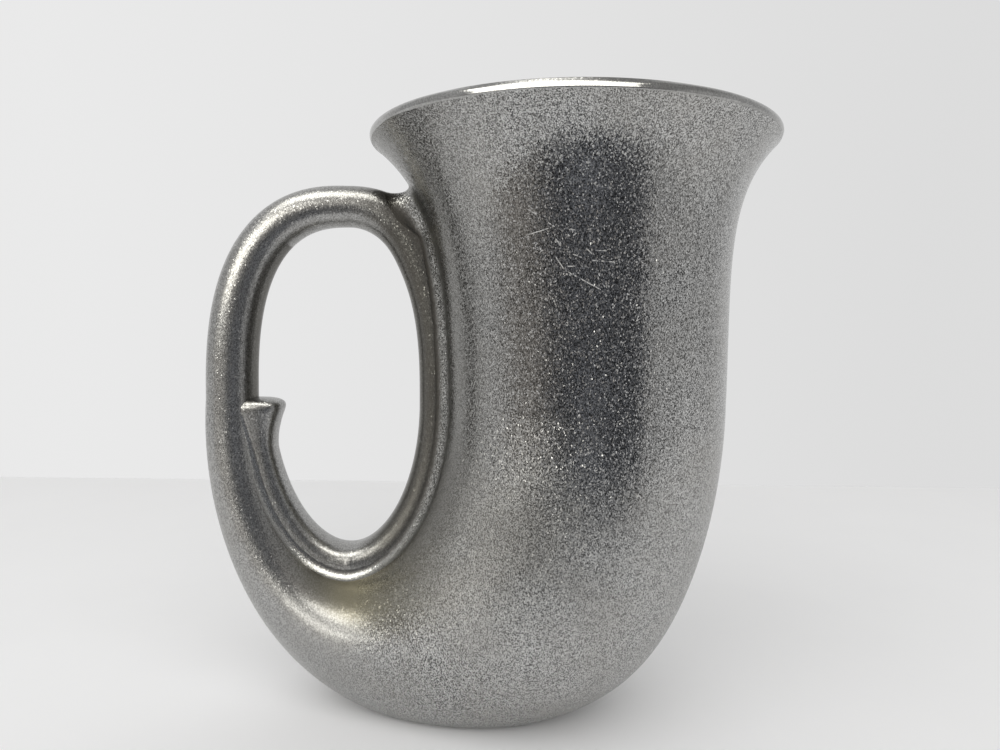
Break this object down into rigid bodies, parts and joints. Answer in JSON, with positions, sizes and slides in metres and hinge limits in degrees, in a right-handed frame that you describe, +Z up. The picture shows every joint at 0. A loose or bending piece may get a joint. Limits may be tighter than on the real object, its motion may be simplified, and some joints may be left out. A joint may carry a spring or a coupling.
{
  "type": "tankard",
  "caption": "Drinking tankard in satin cast metal shaped as a curled hunting horn: flared bell mouth, tapering curled handle, lead pipe with mouthpiece inside the finger loop, flat foot.",
  "frame": {"origin": "middle of the flat foot, on the table", "axes": "+Z up through the mouth, +X from the handle towards the cup, -Y towards the viewer, with the curl lying in the XZ plane"},
  "size_m": [0.143, 0.1, 0.145],
  "materials": {
    "cast_metal": "satin, with a fine cast grain",
    "solder": "rough and glittering"
  },
  "bodies": {
    "root": {"bell": "cast_metal", "bow": "cast_metal", "tail": "cast_metal", "crook": "cast_metal", "lead_pipe": "cast_metal", "mouthpiece": "cast_metal", "front_fillet": "solder", "rear_fillet": "solder"}
  },
  "joints": []
}
